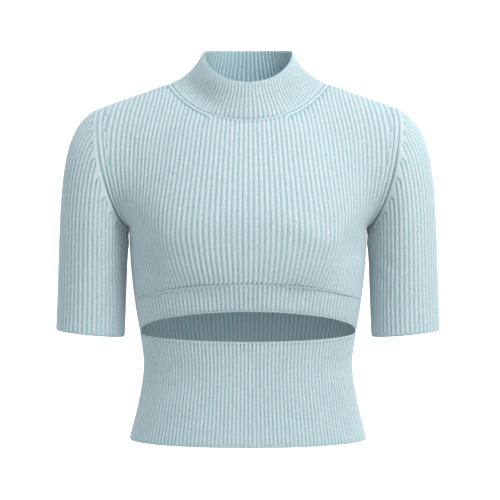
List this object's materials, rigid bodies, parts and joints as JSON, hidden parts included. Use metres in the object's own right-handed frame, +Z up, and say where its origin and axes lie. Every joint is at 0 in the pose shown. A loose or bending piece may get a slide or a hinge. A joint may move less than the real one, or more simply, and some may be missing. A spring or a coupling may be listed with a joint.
{
  "type": "crop top",
  "caption": "Ribbed knit crop top, hollow as worn, with a mock neck, half sleeves and a curved slit across the front between an under-bust band and a flared waist panel.",
  "frame": {"origin": "midway between the two points where the collar meets the shoulder seams, where the garment hangs on its wearer", "axes": "+Z up, -Y the garment's front, +X the wearer's left"},
  "size_m": [0.4682, 0.2097, 0.4778],
  "materials": {
    "rib_knit": "matt pale aqua blue rib knit"
  },
  "bodies": {
    "root": {"front": "rib_knit", "underbust_band": "rib_knit", "lower_front": "rib_knit", "back": "rib_knit", "sleeve_left": "rib_knit", "sleeve_right": "rib_knit", "collar": "rib_knit"}
  },
  "joints": []
}
